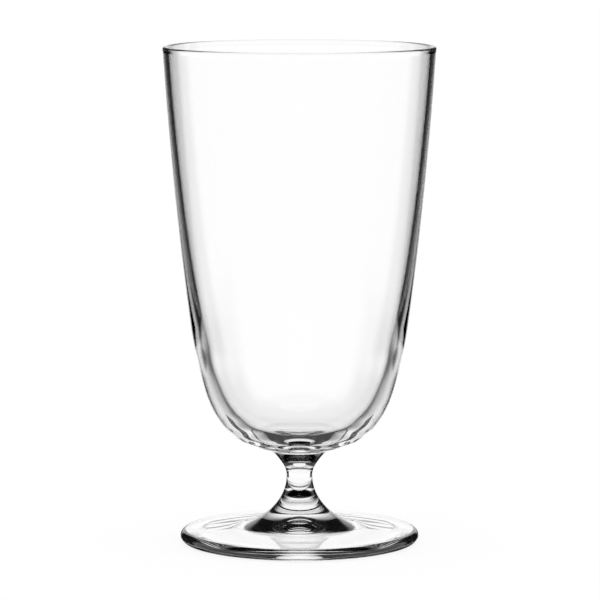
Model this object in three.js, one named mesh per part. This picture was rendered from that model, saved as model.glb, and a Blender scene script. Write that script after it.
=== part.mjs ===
// Footed highball glass: a tall tapered bowl, a short waisted stem and a flat round foot.
// The three are separate gathers of clear glass, set end to end on one upright axis and fused.
// Millimetres, +Z up, origin on the table at the centre of the foot.

import * as THREE from "three";

// Foot: a disc with a fully rounded edge and a low boss that carries the stem.
const footDiameter = 67.6;
const footEdgeThickness = 3.4;
const footTopRise = 0.6; // climb of the top face from its edge to where the boss begins
const footHollowDiameter = 58.6;
const footHollowDepth = 4.9; // the underside is pushed up under the boss
const bossDiameter = 40.0; // where the boss runs out into the top face
const bossHeight = 6.4; // table to the seat of the stem

// Stem: a spool of solid glass, narrowest at its neck.
const stemHeight = 18.1;
const stemFootDiameter = 23.9;
const stemFootSlope = 29.2; // degrees from level, shared by the stem and the boss at their seat
const stemTopDiameter = 13.0;
const stemTopSlope = 50; // degrees from level, shared by the stem and the bowl at their seat
const neckDiameter = 7.3;
const neckHeight = 12.1; // above the stem's lower end

// Bowl: blown, with a thick rounded bottom and a wall that thins towards the rim.
const bowlHeight = 116.1;
const rimDiameter = 77.0;
const lipBeadWidth = 1.75; // fire-polished bead round the rim
const lipBeadHeight = 1.3;
const lipBeadProud = 0.14; // how far the bead stands out from the wall below it
const lipDepth = 1.6; // rim down to where the plain wall begins
const wallAtRim = 1.55;
const wallBulge = 0.7; // how far the upper wall swells past a straight cone
const breakDiameter = 60.3; // where the upper wall turns in towards the bottom
const breakHeight = 32.8; // above the bowl's lower end, as are the next two heights
const breakRounding = 4.0; // how far the turn is eased along the wall, to each side
const wallAtBreak = 3.8;
const shoulderDiameter = 55.9; // end of the straight lower wall, start of the rounded bottom
const shoulderHeight = 23.5;
const undersideDiameter = 22.0; // where the rounded bottom meets the fillet above the stem
const undersideHeight = 2.45;
const undersideSlope = 12; // degrees from level
const baseThickness = 4.9; // stem's seat up to the lowest point inside
const insideLean = 14; // degrees from upright of the inner wall at the break

// How far each curve keeps its end directions, as a share of the span that it crosses.
const hollowTopEase = 0.14;
const hollowRimEase = 0.22;
const neckLowerEase = 0.07;
const neckUpperEase = 0.34;
const stemFootEase = 0.64;
const stemTopEase = 0.55;
const bottomLowerEase = 0.49;
const bottomUpperEase = 0.2;
const insideTopEase = 0.25;
const insideBreakEase = 0.27;
const insideDepthEase = 0.47;
const insideFloorEase = 0.82;

// Flats round each turned piece, and along each curve and rounded edge of its section.
const facetsRound = 48;
const stepsPerCurve = 6;
const stepsPerEdge = 6;

// Levels, from the table up.
const stemFootLevel = bossHeight;
const neckLevel = stemFootLevel + neckHeight;
const stemTopLevel = stemFootLevel + stemHeight;
const rimLevel = stemTopLevel + bowlHeight;

const clearGlass = {
  color: 0xf4f7f6,
  roughness: 0.03,
  metalness: 0,
  transparent: true,
  opacity: 0.35,
};

// A point of a half section: distance from the axis and height.
const point = (radius, height) => new THREE.Vector2(radius, height);

// A step of the given length, outwards from the axis and up at an angle in degrees from level.
function step(length, slope) {
  const angle = THREE.MathUtils.degToRad(slope);
  return point(length * Math.cos(angle), length * Math.sin(angle));
}

// Where the line through start at one slope meets the line through end at another.
function meeting(start, startSlope, end, endSlope) {
  const along = step(1, startSlope);
  const across = step(1, endSlope);
  const gap = end.clone().sub(start);
  const reach = gap.cross(across) / along.cross(across);
  return start.clone().addScaledVector(along, reach);
}

// The parts of a half section, each with the number of steps it is drawn in.
const line = (start, end) => [new THREE.LineCurve(start, end), 1];

const bend = (start, middle, end) => [
  new THREE.QuadraticBezierCurve(start, middle, end),
  stepsPerCurve,
];

const sweep = (start, leave, arrive, end) => [
  new THREE.CubicBezierCurve(start, leave, arrive, end),
  stepsPerCurve,
];

const round = (centre, width, height, from, to) => [
  new THREE.EllipseCurve(centre.x, centre.y, width / 2, height / 2, from, to),
  stepsPerEdge,
];

// Turns a half section, which starts and ends on the axis, into a solid of glass.
function turned(name, section) {
  const outline = [];
  for (const [curve, steps] of section) {
    const points = curve.getPoints(steps);
    outline.push(...(outline.length ? points.slice(1) : points));
  }
  const geometry = new THREE.LatheGeometry(outline, facetsRound);
  geometry.rotateX(Math.PI / 2);
  const mesh = new THREE.Mesh(geometry, new THREE.MeshStandardMaterial(clearGlass));
  mesh.name = name;
  return mesh;
}

// Foot: hollow underside, flat standing ring, rounded edge, top face, boss and the stem's seat.
function makeFoot() {
  const edge = point((footDiameter - footEdgeThickness) / 2, footEdgeThickness / 2);
  const hollowTop = point(0, footHollowDepth);
  const hollowRim = point(footHollowDiameter / 2, 0);
  const hollowTopReach = point(hollowTopEase * hollowRim.x, footHollowDepth);
  const hollowRimReach = point((1 - hollowRimEase) * hollowRim.x, 0);
  const ringRim = point(edge.x, 0);
  const topRim = point(edge.x, footEdgeThickness);
  const bossRim = point(bossDiameter / 2, footEdgeThickness + footTopRise);
  const seatRim = point(stemFootDiameter / 2, bossHeight);
  const topSlope = THREE.MathUtils.radToDeg(Math.atan2(footTopRise, bossRim.x - topRim.x));
  return turned("foot", [
    sweep(hollowTop, hollowTopReach, hollowRimReach, hollowRim),
    line(hollowRim, ringRim),
    round(edge, footEdgeThickness, footEdgeThickness, -Math.PI / 2, Math.PI / 2),
    line(topRim, bossRim),
    bend(bossRim, meeting(bossRim, topSlope, seatRim, -stemFootSlope), seatRim),
    line(seatRim, point(0, bossHeight)),
  ]);
}

// Stem: from its wide lower end, in to the neck and out again to the seat of the bowl.
function makeStem() {
  const lowerRim = point(stemFootDiameter / 2, stemFootLevel);
  const neck = point(neckDiameter / 2, neckLevel);
  const upperRim = point(stemTopDiameter / 2, stemTopLevel);
  const lowerReach = stemFootEase * lowerRim.distanceTo(neck);
  const upperReach = stemTopEase * upperRim.distanceTo(neck);
  const belowNeck = point(neck.x, neckLevel - neckLowerEase * (neckLevel - stemFootLevel));
  const aboveNeck = point(neck.x, neckLevel + neckUpperEase * (stemTopLevel - neckLevel));
  return turned("stem", [
    line(point(0, stemFootLevel), lowerRim),
    sweep(lowerRim, lowerRim.clone().sub(step(lowerReach, -stemFootSlope)), belowNeck, neck),
    sweep(neck, aboveNeck, upperRim.clone().sub(step(upperReach, stemTopSlope)), upperRim),
    line(upperRim, point(0, stemTopLevel)),
  ]);
}

// Bowl: fillet above the stem, rounded bottom, straight lower wall, swelling upper wall,
// beaded lip, and then the smooth inside down to its lowest point on the axis.
function makeBowl() {
  const seatRim = point(stemTopDiameter / 2, stemTopLevel);
  const underside = point(undersideDiameter / 2, stemTopLevel + undersideHeight);
  const shoulder = point(shoulderDiameter / 2, stemTopLevel + shoulderHeight);
  const wallBreak = point(breakDiameter / 2, stemTopLevel + breakHeight);
  const lowerWallUp = wallBreak.clone().sub(shoulder).normalize();
  const bottomSpan = shoulder.distanceTo(underside);

  const wallTop = point(rimDiameter / 2 - lipBeadProud, rimLevel - lipDepth);
  const swell = point((wallBreak.x + wallTop.x) / 2 + 2 * wallBulge, (wallBreak.y + wallTop.y) / 2);
  const upperWallUp = wallTop.clone().sub(swell).normalize();
  const swellUp = swell.clone().sub(wallBreak).normalize();
  const breakStart = wallBreak.clone().addScaledVector(lowerWallUp, -breakRounding);
  const breakEnd = wallBreak.clone().addScaledVector(swellUp, breakRounding);
  const bead = point((rimDiameter - lipBeadWidth) / 2, rimLevel - lipBeadHeight / 2);

  const insideTop = point(wallTop.x - wallAtRim, wallTop.y);
  const insideBreak = point(wallBreak.x - wallAtBreak, wallBreak.y);
  const insideFloor = point(0, stemTopLevel + baseThickness);
  const insideUp = step(1, 90 - insideLean);
  const insideSpan = insideTop.distanceTo(insideBreak);
  const insideDepth = insideBreak.y - insideFloor.y;

  return turned("bowl", [
    line(point(0, stemTopLevel), seatRim),
    bend(seatRim, meeting(seatRim, stemTopSlope, underside, undersideSlope), underside),
    sweep(
      underside,
      underside.clone().add(step(bottomLowerEase * bottomSpan, undersideSlope)),
      shoulder.clone().addScaledVector(lowerWallUp, -bottomUpperEase * bottomSpan),
      shoulder,
    ),
    line(shoulder, breakStart),
    bend(breakStart, wallBreak, breakEnd),
    bend(breakEnd, swell, wallTop),
    line(wallTop, point(bead.x + lipBeadWidth / 2, bead.y)),
    round(bead, lipBeadWidth, lipBeadHeight, 0, Math.PI),
    line(point(bead.x - lipBeadWidth / 2, bead.y), insideTop),
    sweep(
      insideTop,
      insideTop.clone().addScaledVector(upperWallUp, -insideTopEase * insideSpan),
      insideBreak.clone().addScaledVector(insideUp, insideBreakEase * insideSpan),
      insideBreak,
    ),
    sweep(
      insideBreak,
      insideBreak.clone().addScaledVector(insideUp, -insideDepthEase * insideDepth),
      point(insideFloorEase * insideBreak.x, insideFloor.y),
      insideFloor,
    ),
  ]);
}

const highball = new THREE.Group();
highball.add(makeFoot(), makeStem(), makeBowl());

export default highball;
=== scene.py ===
"""Footed highball glass: foot, stem and bowl of clear glass, on a white table in a white studio."""

import math

import bpy
import numpy as np
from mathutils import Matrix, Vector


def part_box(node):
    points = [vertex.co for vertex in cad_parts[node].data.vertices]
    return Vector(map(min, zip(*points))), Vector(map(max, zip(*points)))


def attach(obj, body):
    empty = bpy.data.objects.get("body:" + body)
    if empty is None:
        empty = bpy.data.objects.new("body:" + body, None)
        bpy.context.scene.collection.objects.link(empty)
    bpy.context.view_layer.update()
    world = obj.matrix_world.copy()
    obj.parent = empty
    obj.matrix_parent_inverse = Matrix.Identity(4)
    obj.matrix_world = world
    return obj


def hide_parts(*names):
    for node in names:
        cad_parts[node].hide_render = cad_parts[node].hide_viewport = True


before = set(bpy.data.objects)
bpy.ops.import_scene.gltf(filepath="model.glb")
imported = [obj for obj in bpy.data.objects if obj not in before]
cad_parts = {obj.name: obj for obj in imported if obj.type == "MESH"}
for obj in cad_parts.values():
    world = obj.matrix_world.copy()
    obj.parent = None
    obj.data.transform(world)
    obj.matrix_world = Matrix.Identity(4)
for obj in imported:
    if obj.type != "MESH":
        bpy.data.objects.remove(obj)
scene = bpy.context.scene
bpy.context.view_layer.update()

# Camera: a long lens on a stand in front of the glass, a little above its rim and tipped down.
# The tilt and distance come from the ellipses of the rim and the foot, in a 600 by 600 frame.
camera_distance = 1.1025
camera_height = 0.19837
camera_aside = 0.00015
camera_tilt = 6.7
lens_length = 235.65
sensor_width = 36.0

camera_data = bpy.data.cameras.new("camera")
camera_data.lens = lens_length
camera_data.sensor_width = sensor_width
camera = bpy.data.objects.new("camera", camera_data)
camera.location = (camera_aside, -camera_distance, camera_height)
camera.rotation_euler = (math.radians(90 - camera_tilt), 0, 0)
scene.collection.objects.link(camera)
scene.camera = camera
scene.view_settings.view_transform = "Standard"

# Studio: a white room, seen as plain white past the glass and through its thin walls.
# Dark flags close the room round a bright panel behind, so light that turns inside the glass
# comes from the panel or from the dark, which draws the edges of clear glass in black.
dark_level = 0.01
brightening = (dark_level, 1.0)
darkening = (1.0, dark_level)
crossings_of_both_walls = 4
light_bounces = 32

world = bpy.data.worlds.new("white_studio")
scene.world = world
world.use_nodes = True
room = world.node_tree
background = room.nodes["Background"]
background.inputs["Color"].default_value = (1.0, 1.0, 1.0, 1.0)


def math_node(tree, operation, *values):
    """A Math node of a node tree: each value is a socket to link or a number to set."""
    node = tree.nodes.new("ShaderNodeMath")
    node.operation = operation
    for socket, value in zip(node.inputs, values):
        if isinstance(value, (int, float)):
            socket.default_value = value
        else:
            tree.links.new(value, socket)
    return node.outputs[0]


def fade(tree, value, reach, levels=(0.0, 1.0)):
    """A smooth step from one level to the other as the value goes along its reach."""
    node = tree.nodes.new("ShaderNodeMapRange")
    node.interpolation_type = "SMOOTHSTEP"
    tree.links.new(value, node.inputs["Value"])
    for socket, number in zip(("From Min", "From Max", "To Min", "To Max"), (*reach, *levels)):
        node.inputs[socket].default_value = number
    return node.outputs["Result"]


def product(tree, first, *others):
    """All the levels multiplied, which is bright only where every one of them is."""
    for other in others:
        first = math_node(tree, "MULTIPLY", first, other)
    return first


def brighter(tree, first, *others):
    """The highest of the levels."""
    for other in others:
        first = math_node(tree, "MAXIMUM", first, other)
    return first


def choice(tree, test, if_not, if_so):
    """One level where the test is 0 and the other where it is 1: if_not + test * (if_so - if_not)."""
    return math_node(tree, "MULTIPLY_ADD", test, math_node(tree, "SUBTRACT", if_so, if_not), if_not)


def at_least(tree, count, number):
    """1 where a whole count is the number or more, and 0 where it is less."""
    return math_node(tree, "GREATER_THAN", count, number - 0.5)


def fewer_than(tree, count, number):
    """1 where a whole count is less than the number, and 0 from there on."""
    return math_node(tree, "LESS_THAN", count, number - 0.5)


# What has happened to a ray: the faces of glass that it crossed and those that mirrored it.
light_path = room.nodes.new("ShaderNodeLightPath")
crossings = light_path.outputs["Transmission Depth"]
mirrors = light_path.outputs["Glossy Depth"]
mirrored = at_least(room, mirrors, 1)
mirrored_once = fewer_than(room, mirrors, 2)

# Where it goes, in degrees: its turn away from straight behind the glass, and its rise above level.
# Each pair of angles below is where a light or a flag starts to fade and where it ends.
direction = room.nodes.new("ShaderNodeTexCoord")
split_direction = room.nodes.new("ShaderNodeSeparateXYZ")
room.links.new(direction.outputs["Generated"], split_direction.inputs[0])
sideways = math_node(room, "ABSOLUTE", split_direction.outputs["X"])
turn = math_node(room, "DEGREES", math_node(room, "ARCTAN2", sideways, split_direction.outputs["Y"]))
rise = math_node(room, "DEGREES", math_node(room, "ARCSINE", split_direction.outputs["Z"]))

# The panel behind narrows towards its top, and flags close the room above and below.
panel_reach = (11.0, 52.0)
panel_taper = 0.62
panel_top = (31.0, 39.0)
flag_top = (18.0, 27.0)
flag_bottom = (-52.0, -43.0)

rise_above_level = math_node(room, "MAXIMUM", rise, 0.0)
narrowed_turn = math_node(room, "MULTIPLY_ADD", rise_above_level, panel_taper, turn)
panel_width = fade(room, narrowed_turn, panel_reach, darkening)
back_panel = product(room, panel_width, fade(room, rise, panel_top, darkening))
open_above = fade(room, rise, flag_top, darkening)
open_below = fade(room, rise, flag_bottom, brightening)

# Light mirrored off the outside of the glass: a flag stands to each side of the panel.
side_flag_start = (14.0, 20.0)
side_flag_end = (52.0, 60.0)
deep_flag = (-64.0, -56.0)

before_flag = fade(room, turn, side_flag_start, darkening)
past_flag = fade(room, turn, side_flag_end, brightening)
open_deep_below = fade(room, rise, deep_flag, brightening)
outer_mirror = product(room, brighter(room, before_flag, past_flag), open_above, open_deep_below)
outer_light = choice(room, mirrored, 1.0, outer_mirror)

# Light from inside one wall, or from the solid stem and foot. Mirrored there once, it comes from
# the panel, from in front or from overhead, and mirrored more often, only from close to the panel.
front_reach = (48.0, 62.0)
front_bottom = (-28.0, -19.0)
middle_reach = (92.0, 108.0)
middle_bottom = (-58.0, -50.0)
overhead_start = (56.0, 66.0)
often_reach = (14.0, 30.0)
often_top = (50.0, 58.0)
many_mirrors = 9
many_mirrors_level = 0.25

front_sides = fade(room, turn, front_reach, brightening)
front_sides = product(room, front_sides, fade(room, rise, front_bottom, brightening))
front_middle = fade(room, turn, middle_reach, brightening)
front_middle = product(room, front_middle, fade(room, rise, middle_bottom, brightening))
front_light = product(room, brighter(room, front_sides, front_middle), open_above)
overhead = fade(room, rise, overhead_start, brightening)
once_light = brighter(room, back_panel, front_light, overhead)
often_light = choice(room, at_least(room, mirrors, many_mirrors), 1.0, many_mirrors_level)
often_light = product(room, often_light, fade(room, turn, often_reach, darkening))
often_light = product(room, often_light, fade(room, rise, often_top, darkening))
wall_mirror = product(room, choice(room, mirrored_once, often_light, once_light), open_below)
wall_light = choice(room, mirrored, open_above, wall_mirror)

# Light that crossed both walls of the bowl. Only what goes steeply down and aside is dark, and
# what is mirrored on its way comes from the panel, from in front, or from a strip over the panel.
far_front_reach = (50.0, 64.0)
far_front_top = (6.0, 16.0)
far_middle_reach = (84.0, 98.0)
far_middle_top = (70.0, 80.0)
far_dark_level = 0.08
strip_bottom = (24.0, 30.0)
strip_top = (50.0, 58.0)
strip_reach = (26.0, 36.0)
steep_start = (-46.0, -38.0)
steep_reach = (30.0, 42.0)

far_panel = product(room, back_panel, open_above)
far_front = fade(room, turn, far_front_reach, brightening)
far_front = product(room, far_front, fade(room, rise, far_front_top, darkening))
far_middle = fade(room, turn, far_middle_reach, brightening)
far_middle = product(room, far_middle, fade(room, rise, far_middle_top, darkening))
far_once = product(room, brighter(room, far_panel, far_front, far_middle), open_below)
far_once = brighter(room, far_once, far_dark_level)
far_twice = product(room, fewer_than(room, mirrors, 3), fade(room, turn, strip_reach, darkening))
far_twice = product(room, far_twice, fade(room, rise, strip_bottom, brightening))
far_twice = product(room, far_twice, fade(room, rise, strip_top, darkening))
shallow = fade(room, rise, steep_start, brightening)
far_straight = brighter(room, shallow, fade(room, turn, steep_reach, darkening))
far_straight = product(room, far_straight, open_above)
far_light = choice(room, mirrored, far_straight, choice(room, mirrored_once, far_twice, far_once))

# The room as each ray finds it, and plain white wherever the camera looks past the glass.
room_light = choice(room, at_least(room, crossings, 1), outer_light, wall_light)
room_light = choice(room, at_least(room, crossings, crossings_of_both_walls), room_light, far_light)
room_light = brighter(room, room_light, light_path.outputs["Is Camera Ray"])
room.links.new(room_light, background.inputs["Strength"])

scene.cycles.max_bounces = light_bounces
scene.cycles.glossy_bounces = light_bounces
scene.cycles.transmission_bounces = light_bounces
scene.cycles.transparent_max_bounces = light_bounces

# Floor: a smooth white table top that runs on out of sight and meets the white room.
# It glows so that it is as white as the room, and it takes the soft shadow of the glass.
floor_reach = 6.0
floor_drop = 0.0002
floor_glow = 0.865
floor_colour = 0.15

floor_mesh = bpy.data.meshes.new("floor")
floor_corners = np.array([[-1, -1], [1, -1], [1, 1], [-1, 1]]) * floor_reach
floor_points = np.column_stack([floor_corners, np.full(4, -floor_drop)])
floor_mesh.from_pydata(floor_points.tolist(), [], [(0, 1, 2, 3)])
floor = bpy.data.objects.new("floor", floor_mesh)
scene.collection.objects.link(floor)
floor_paint = bpy.data.materials.new("white_table")
floor_paint.use_nodes = True
floor_shader = floor_paint.node_tree.nodes["Principled BSDF"]
floor_shader.inputs["Base Color"].default_value = (floor_colour, floor_colour, floor_colour, 1.0)
floor_shader.inputs["Roughness"].default_value = 1.0
floor_shader.inputs["Specular IOR Level"].default_value = 0.0
floor_shader.inputs["Emission Color"].default_value = (1.0, 1.0, 1.0, 1.0)
floor_shader.inputs["Emission Strength"].default_value = floor_glow
floor_mesh.materials.append(floor_paint)
floor.visible_transmission = False
floor.visible_glossy = False

# Stem cards: two low black cards that stand beside the stem, behind it and out of the frame.
# They darken the sides of the solid stem, and are seen only from close by, straight through
# one wall of glass. Sizes and places of the cards are in metres.
stem_card_near = (0.050, 0.058)
stem_card_far = (0.078, 0.026)
stem_card_low = 0.0
stem_card_high = 0.040
stem_card_range = 0.086
crossings_past_one_wall = 3


def black_card(name):
    """A matt black card that is clear where its share is 0. It returns the material and the
    facts that its Light Path node has on each ray."""
    paint = bpy.data.materials.new(name)
    paint.use_nodes = True
    nodes = paint.node_tree.nodes
    links = paint.node_tree.links
    matt = nodes["Principled BSDF"]
    matt.inputs["Base Color"].default_value = (0.0, 0.0, 0.0, 1.0)
    matt.inputs["Roughness"].default_value = 1.0
    matt.inputs["Specular IOR Level"].default_value = 0.0
    clear = nodes.new("ShaderNodeBsdfTransparent")
    mix = nodes.new("ShaderNodeMixShader")
    links.new(clear.outputs["BSDF"], mix.inputs[1])
    links.new(matt.outputs["BSDF"], mix.inputs[2])
    links.new(mix.outputs["Shader"], nodes["Material Output"].inputs["Surface"])
    return paint, nodes.new("ShaderNodeLightPath").outputs


def set_share(paint, *shares):
    """Links the product of the shares, each from 0 to 1, to the mix of clear and black."""
    tree = paint.node_tree
    tree.links.new(product(tree, *shares), tree.nodes["Mix Shader"].inputs["Fac"])


def standing_cards(name, near, far, low, high, paint):
    """A pair of upright cards, mirrored left and right, from a near to a far (x, y) point."""
    for side, side_name in ((-1, "left"), (1, "right")):
        mesh = bpy.data.meshes.new(f"{side_name}_{name}")
        corners = [
            (side * near[0], near[1], low),
            (side * far[0], far[1], low),
            (side * far[0], far[1], high),
            (side * near[0], near[1], high),
        ]
        mesh.from_pydata(corners, [], [(0, 1, 2, 3)])
        mesh.materials.append(paint)
        card = bpy.data.objects.new(f"{side_name}_{name}", mesh)
        card.visible_camera = False
        card.visible_diffuse = False
        card.visible_shadow = False
        scene.collection.objects.link(card)


stem_paint, ray = black_card("stem_card")
tree = stem_paint.node_tree
one_wall = fewer_than(tree, ray["Transmission Depth"], crossings_past_one_wall)
straight = fewer_than(tree, ray["Glossy Depth"], 1)
close_by = math_node(tree, "LESS_THAN", ray["Ray Length"], stem_card_range)
set_share(stem_paint, one_wall, straight, close_by)
standing_cards("stem_card", stem_card_near, stem_card_far, stem_card_low, stem_card_high, stem_paint)

# Foot cards: two low black cards close behind the foot, with a gap between them. They are seen
# only by light that is turned back inside the glass, and draw the edge of the foot.
foot_card_near = (0.006, 0.058)
foot_card_far = (0.050, 0.058)
foot_card_low = -0.012
foot_card_high = 0.003
foot_card_fade = (0.008, 0.020)


def place_on_card(tree):
    """The X, Y and Z of the point where a ray meets the card."""
    spot = tree.nodes.new("ShaderNodeTexCoord")
    place = tree.nodes.new("ShaderNodeSeparateXYZ")
    tree.links.new(spot.outputs["Object"], place.inputs[0])
    return place.outputs


foot_paint, ray = black_card("foot_card")
tree = foot_paint.node_tree
aside = math_node(tree, "ABSOLUTE", place_on_card(tree)["X"])
one_wall = fewer_than(tree, ray["Transmission Depth"], crossings_past_one_wall)
turned_back = at_least(tree, ray["Glossy Depth"], 1)
past_gap = fade(tree, aside, foot_card_fade)
set_share(foot_paint, one_wall, turned_back, past_gap)
standing_cards("foot_card", foot_card_near, foot_card_far, foot_card_low, foot_card_high, foot_paint)

# Bowl cards: two tall black cards further out, beside the upper bowl. They are seen only by
# light that is turned back inside the wall, or that crosses the bead of the rim.
bowl_card_near = (0.030, 0.060)
bowl_card_far = (0.180, 0.060)
bowl_card_low = 0.026
bowl_card_high = 0.160
bowl_card_lean = 0.08
bowl_card_start = (0.050, 0.068)
bowl_card_end = (0.100, 0.135)
bowl_card_rise = (0.027, 0.033)
bowl_card_share = 0.95
rim_strip = 0.124

bowl_paint, ray = black_card("bowl_card")
tree = bowl_paint.node_tree
place = place_on_card(tree)
height = place["Z"]
aside = math_node(tree, "ABSOLUTE", place["X"])
one_wall = fewer_than(tree, ray["Transmission Depth"], crossings_past_one_wall)
turned_back = at_least(tree, ray["Glossy Depth"], 1)
by_rim = math_node(tree, "GREATER_THAN", height, rim_strip)
past_start = fade(tree, math_node(tree, "MULTIPLY_ADD", height, bowl_card_lean, aside), bowl_card_start)
before_end = fade(tree, aside, bowl_card_end, (1.0, 0.0))
above = fade(tree, height, bowl_card_rise)
seen = product(tree, one_wall, brighter(tree, turned_back, by_rim))
set_share(bowl_paint, seen, past_start, before_end, above, bowl_card_share)
standing_cards("bowl_card", bowl_card_near, bowl_card_far, bowl_card_low, bowl_card_high, bowl_paint)

# Foot: a round disc of pressed clear glass with a fully rounded edge and a hollow underside.
# Its middle rises in a low boss, and the stem is fused to the boss while both are hot.
# Sizes are in millimetres and slopes in degrees, as are those of the stem and the bowl.
millimetres_per_metre = 1000.0
foot_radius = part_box("foot")[1].x * millimetres_per_metre
stem_foot_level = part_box("stem")[0].z * millimetres_per_metre
foot_edge_thickness = 3.4
foot_top_rise = 0.6
foot_hollow_radius = 29.3
foot_hollow_depth = 4.9
hollow_top_ease = 0.14
hollow_rim_ease = 0.22
boss_radius = 20.0
stem_foot_radius = 11.95
stem_foot_slope = 29.2
glass_index = 1.5
facets_round = 256
steps_per_curve = 48
glass_slot = 0
joint_slot = 1


def point(radius, height):
    """A point of a half section: distance from the axis and height."""
    return np.array([radius, height], dtype=float)


def step(length, slope):
    """A step of a given length, outwards and up at a slope from level."""
    angle = math.radians(slope)
    return point(length * math.cos(angle), length * math.sin(angle))


def meeting(start, start_slope, end, end_slope):
    """Where two lines meet: start plus along times (gap x across) / (along x across)."""
    along = step(1.0, start_slope)
    across = step(1.0, end_slope)
    gap = end - start
    reach = (gap[0] * across[1] - gap[1] * across[0]) / (along[0] * across[1] - along[1] * across[0])
    return start + reach * along


def line(start, end, slot=glass_slot):
    """Straight stretch of a section: its two ends, its direction at each, and its material slot."""
    return np.array([start, end]), np.array([end - start, end - start]), slot


def bend(start, middle, end, steps=steps_per_curve):
    """Quadratic curve (1-t)^2 start + 2t(1-t) middle + t^2 end, with its direction at each t."""
    t = np.linspace(0.0, 1.0, steps + 1)[:, None]
    points = (1 - t) ** 2 * start + 2 * t * (1 - t) * middle + t**2 * end
    return points, (1 - t) * (middle - start) + t * (end - middle), glass_slot


def sweep(start, leave, arrive, end, steps=steps_per_curve):
    """Cubic curve s^3 start + 3s^2t leave + 3st^2 arrive + t^3 end, where s is 1-t, with its
    direction at each t."""
    t = np.linspace(0.0, 1.0, steps + 1)[:, None]
    s = 1 - t
    points = s**3 * start + 3 * s**2 * t * leave + 3 * s * t**2 * arrive + t**3 * end
    along = s**2 * (leave - start) + 2 * s * t * (arrive - leave) + t**2 * (end - arrive)
    return points, along, glass_slot


def round_edge(centre, width, height, start_angle, end_angle):
    """Part of an ellipse: centre plus half width times cosine and half height times sine."""
    t = np.radians(np.linspace(start_angle, end_angle, steps_per_curve + 1))[:, None]
    half = point(width / 2, height / 2)
    points = centre + half * np.hstack([np.cos(t), np.sin(t)])
    return points, half * np.hstack([-np.sin(t), np.cos(t)]), glass_slot


def normals_of(along):
    """Unit normals of a section: each direction along it, turned a quarter to the right."""
    normals = np.column_stack([along[:, 1], -along[:, 0]])
    return normals / np.linalg.norm(normals, axis=1, keepdims=True)


def turned_glass(name, section, glass):
    """A half section carried round the upright axis: (r cos a, r sin a, z) for every angle a.
    It starts and ends on the axis, where fans of triangles close it. The section's normals are
    carried round in the same way and set on the faces' corners."""
    stretches = [points[1:] for points, along, slot in section]
    rows = np.concatenate([section[0][0][:1]] + stretches) / millimetres_per_metre
    outward = [normals_of(along) for points, along, slot in section]
    lower = np.concatenate([normals[:-1] for normals in outward])
    upper = np.concatenate([normals[1:] for normals in outward])
    slots = np.concatenate([np.full(len(points) - 1, slot) for points, along, slot in section])

    angles = np.linspace(0.0, 2 * np.pi, facets_round, endpoint=False)
    circle = np.column_stack([np.cos(angles), np.sin(angles)])

    def carried(pairs):
        """Each (r, z) pair carried round the axis, as an array of rows, angles and x y z."""
        flat = pairs[:, None, :1] * circle[None]
        high = np.broadcast_to(pairs[:, None, 1:], flat.shape[:2] + (1,))
        return np.concatenate([flat, high], axis=2)

    ring_points = carried(rows[1:-1]).reshape(-1, 3)
    poles = np.array([[0.0, 0.0, rows[0, 1]], [0.0, 0.0, rows[-1, 1]]])
    points = np.concatenate([poles[:1], ring_points, poles[1:]])
    here = np.arange(facets_round)
    after = np.roll(here, -1)
    ring_starts = 1 + facets_round * np.arange(len(rows) - 3)[:, None]
    first_pole = np.zeros(facets_round, dtype=int)
    last_pole = np.full(facets_round, len(points) - 1)
    last_ring = len(points) - 1 - facets_round
    first_fan = np.column_stack([first_pole, 1 + after, 1 + here])
    last_fan = np.column_stack([last_ring + here, last_ring + after, last_pole])
    next_starts = ring_starts + facets_round
    corners = [ring_starts + here, ring_starts + after, next_starts + after, next_starts + here]
    strips = np.stack(corners, axis=2).reshape(-1, 4)

    low_normals = carried(lower)
    high_normals = carried(upper)
    low_after = np.roll(low_normals, -1, axis=1)
    high_after = np.roll(high_normals, -1, axis=1)
    fan_low = np.stack([low_normals[0], high_after[0], high_normals[0]], axis=1)
    fan_high = np.stack([low_normals[-1], low_after[-1], high_normals[-1]], axis=1)
    strip_normals = np.stack([low_normals, low_after, high_after, high_normals], axis=2)[1:-1]
    corner_normals = [part.reshape(-1, 3) for part in (fan_low, strip_normals, fan_high)]

    mesh = bpy.data.meshes.new(name)
    mesh.from_pydata(points.tolist(), [], first_fan.tolist() + strips.tolist() + last_fan.tolist())
    mesh.polygons.foreach_set("material_index", np.repeat(slots, facets_round))
    mesh.polygons.foreach_set("use_smooth", np.ones(len(mesh.polygons), dtype=bool))
    mesh.materials.append(glass)
    mesh.materials.append(fused_joint)
    mesh.update()
    mesh.normals_split_custom_set(np.concatenate(corner_normals).tolist())
    piece = bpy.data.objects.new(name, mesh)
    scene.collection.objects.link(piece)
    return piece


def clear_glass(name):
    """Clear soda-lime glass: colourless and fire-polished, so it is told by what it bends."""
    glass = bpy.data.materials.new(name)
    glass.use_nodes = True
    shader = glass.node_tree.nodes["Principled BSDF"]
    shader.inputs["Base Color"].default_value = (1.0, 1.0, 1.0, 1.0)
    shader.inputs["Roughness"].default_value = 0.0
    shader.inputs["IOR"].default_value = glass_index
    shader.inputs["Transmission Weight"].default_value = 1.0
    return glass


# The faces inside a fused joint, where the two glasses have become one and nothing shows.
fused_joint = bpy.data.materials.new("fused_joint")
fused_joint.use_nodes = True
joint_nodes = fused_joint.node_tree.nodes
joint_nodes.remove(joint_nodes["Principled BSDF"])
joint_clear = joint_nodes.new("ShaderNodeBsdfTransparent")
joint_surface = joint_nodes["Material Output"].inputs["Surface"]
fused_joint.node_tree.links.new(joint_clear.outputs["BSDF"], joint_surface)

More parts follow.
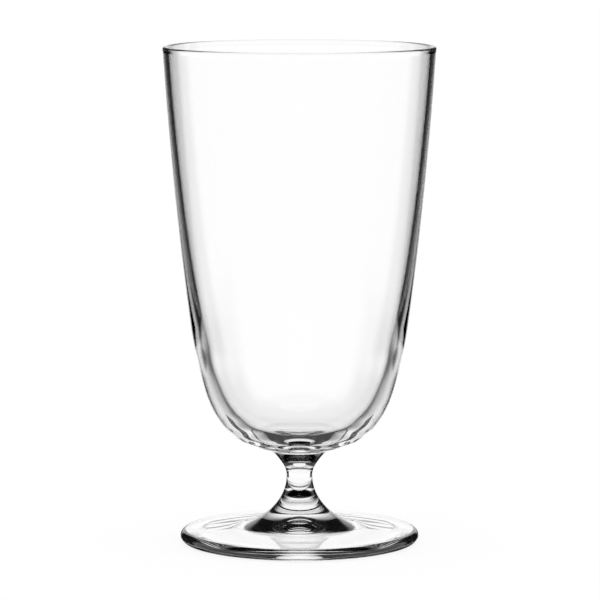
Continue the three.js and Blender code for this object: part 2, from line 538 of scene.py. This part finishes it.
foot_edge = point(foot_radius - foot_edge_thickness / 2, foot_edge_thickness / 2)
foot_hollow_top = point(0.0, foot_hollow_depth)
hollow_top_reach = point(hollow_top_ease * foot_hollow_radius, foot_hollow_depth)
hollow_rim_reach = point((1 - hollow_rim_ease) * foot_hollow_radius, 0.0)
foot_hollow_rim = point(foot_hollow_radius, 0.0)
foot_ring_rim = point(foot_edge[0], 0.0)
foot_top_rim = point(foot_edge[0], foot_edge_thickness)
boss_rim = point(boss_radius, foot_edge_thickness + foot_top_rise)
stem_foot_rim = point(stem_foot_radius, stem_foot_level)
foot_top_slope = math.degrees(math.atan2(foot_top_rise, boss_radius - foot_edge[0]))
boss_bend = meeting(boss_rim, foot_top_slope, stem_foot_rim, -stem_foot_slope)
foot = turned_glass(
    "foot_glass",
    [
        sweep(foot_hollow_top, hollow_top_reach, hollow_rim_reach, foot_hollow_rim),
        line(foot_hollow_rim, foot_ring_rim),
        round_edge(foot_edge, foot_edge_thickness, foot_edge_thickness, -90.0, 90.0),
        line(foot_top_rim, boss_rim),
        bend(boss_rim, boss_bend, stem_foot_rim),
        line(stem_foot_rim, point(0.0, stem_foot_level), joint_slot),
    ],
    clear_glass("pressed_glass"),
)
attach(foot, "root")
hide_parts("foot")

# Stem: a short solid spool of clear glass, drawn in to a neck between its two flared ends.
# It is pulled from its own gather and fused to the foot below and to the bowl above.
stem_top_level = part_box("bowl")[0].z * millimetres_per_metre
stem_top_radius = 6.5
stem_top_slope = 50.0
stem_top_ease = 0.55
stem_foot_ease = 0.64
neck_radius = 3.65
neck_level = 18.5
neck_lower_ease = 0.07
neck_upper_ease = 0.34

neck = point(neck_radius, neck_level)
stem_top_rim = point(stem_top_radius, stem_top_level)
below_neck = point(neck_radius, neck_level - neck_lower_ease * (neck_level - stem_foot_level))
above_neck = point(neck_radius, neck_level + neck_upper_ease * (stem_top_level - neck_level))
lower_reach = stem_foot_ease * np.linalg.norm(stem_foot_rim - neck)
upper_reach = stem_top_ease * np.linalg.norm(stem_top_rim - neck)
stem = turned_glass(
    "stem_glass",
    [
        line(point(0.0, stem_foot_level), stem_foot_rim, joint_slot),
        sweep(stem_foot_rim, stem_foot_rim - step(lower_reach, -stem_foot_slope), below_neck, neck),
        sweep(neck, above_neck, stem_top_rim - step(upper_reach, stem_top_slope), stem_top_rim),
        line(stem_top_rim, point(0.0, stem_top_level), joint_slot),
    ],
    clear_glass("drawn_glass"),
)
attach(stem, "root")
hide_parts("stem")

# Bowl: clear glass blown in a mould, with a thick rounded bottom that is fused to the stem.
# The wall thins towards the rim, which is cracked off and fire-polished to a small bead.
rim_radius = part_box("bowl")[1].x * millimetres_per_metre
rim_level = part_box("bowl")[1].z * millimetres_per_metre
lip_bead_width = 1.75
lip_bead_height = 1.3
lip_bead_proud = 0.14
lip_depth = 1.6
wall_at_rim = 1.55
wall_bulge = 0.7
break_radius = 30.15
break_rise = 32.8
break_rounding = 4.0
break_steps = 24
wall_at_break = 3.8
shoulder_radius = 27.95
shoulder_rise = 23.5
underside_radius = 11.0
underside_rise = 2.45
underside_slope = 12.0
underside_steps = 96
tool_ring_height = 0.065
tool_ring_spacing = 5.5
tool_ring_phase = 0.12
tool_ring_ease = 1.5
tool_ring_reach = 20.0
base_thickness = 4.9
inside_lean = 14.0
bottom_lower_ease = 0.49
bottom_upper_ease = 0.2
inside_top_ease = 0.25
inside_break_ease = 0.27
inside_depth_ease = 0.47
inside_floor_ease = 0.82


def tool_rings(points, along, slot):
    """Faint rings left by the tool as the hot bowl turns. Each point of the section moves along its
    normal by the ring height times the sine of its distance along the section over the spacing,
    eased in and out. The new directions are the slopes of the moved section."""
    lengths = np.linalg.norm(np.diff(points, axis=0), axis=1)
    run = np.concatenate([[0.0], np.cumsum(lengths)])
    ease_in = np.clip(run / tool_ring_ease, 0.0, 1.0) ** 2
    ease_out = np.clip(1 - run / tool_ring_reach, 0.0, 1.0)
    wave = np.sin(2 * np.pi * (run / tool_ring_spacing + tool_ring_phase))
    ringed = points + tool_ring_height * (wave * ease_in * ease_out)[:, None] * normals_of(along)
    return ringed, np.gradient(ringed, run, axis=0), slot


def heading(start, end):
    """Unit direction from one point to another."""
    return (end - start) / np.linalg.norm(end - start)


underside = point(underside_radius, stem_top_level + underside_rise)
shoulder = point(shoulder_radius, stem_top_level + shoulder_rise)
wall_break = point(break_radius, stem_top_level + break_rise)
wall_top = point(rim_radius - lip_bead_proud, rim_level - lip_depth)
swell = (wall_break + wall_top) / 2 + point(2 * wall_bulge, 0.0)
lower_wall_up = heading(shoulder, wall_break)
upper_wall_up = heading(swell, wall_top)
break_start = wall_break - break_rounding * lower_wall_up
break_end = wall_break + break_rounding * heading(wall_break, swell)
bottom_span = np.linalg.norm(shoulder - underside)
bead = point(rim_radius - lip_bead_width / 2, rim_level - lip_bead_height / 2)
inside_top = point(wall_top[0] - wall_at_rim, wall_top[1])
inside_break = point(wall_break[0] - wall_at_break, wall_break[1])
inside_floor = point(0.0, stem_top_level + base_thickness)
inside_up = step(1.0, 90.0 - inside_lean)
inside_span = np.linalg.norm(inside_top - inside_break)
inside_depth = inside_break[1] - inside_floor[1]
bowl = turned_glass(
    "bowl_glass",
    [
        line(point(0.0, stem_top_level), stem_top_rim, joint_slot),
        bend(
            stem_top_rim,
            meeting(stem_top_rim, stem_top_slope, underside, underside_slope),
            underside,
        ),
        tool_rings(*sweep(
            underside,
            underside + step(bottom_lower_ease * bottom_span, underside_slope),
            shoulder - bottom_upper_ease * bottom_span * lower_wall_up,
            shoulder,
            underside_steps,
        )),
        line(shoulder, break_start),
        bend(break_start, wall_break, break_end, break_steps),
        bend(break_end, swell, wall_top),
        line(wall_top, point(bead[0] + lip_bead_width / 2, bead[1])),
        round_edge(bead, lip_bead_width, lip_bead_height, 0.0, 180.0),
        line(point(bead[0] - lip_bead_width / 2, bead[1]), inside_top),
        sweep(
            inside_top,
            inside_top - inside_top_ease * inside_span * upper_wall_up,
            inside_break + inside_break_ease * inside_span * inside_up,
            inside_break,
        ),
        sweep(
            inside_break,
            inside_break - inside_depth_ease * inside_depth * inside_up,
            point(inside_floor_ease * inside_break[0], inside_floor[1]),
            inside_floor,
        ),
    ],
    clear_glass("blown_glass"),
)
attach(bowl, "root")
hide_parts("bowl")
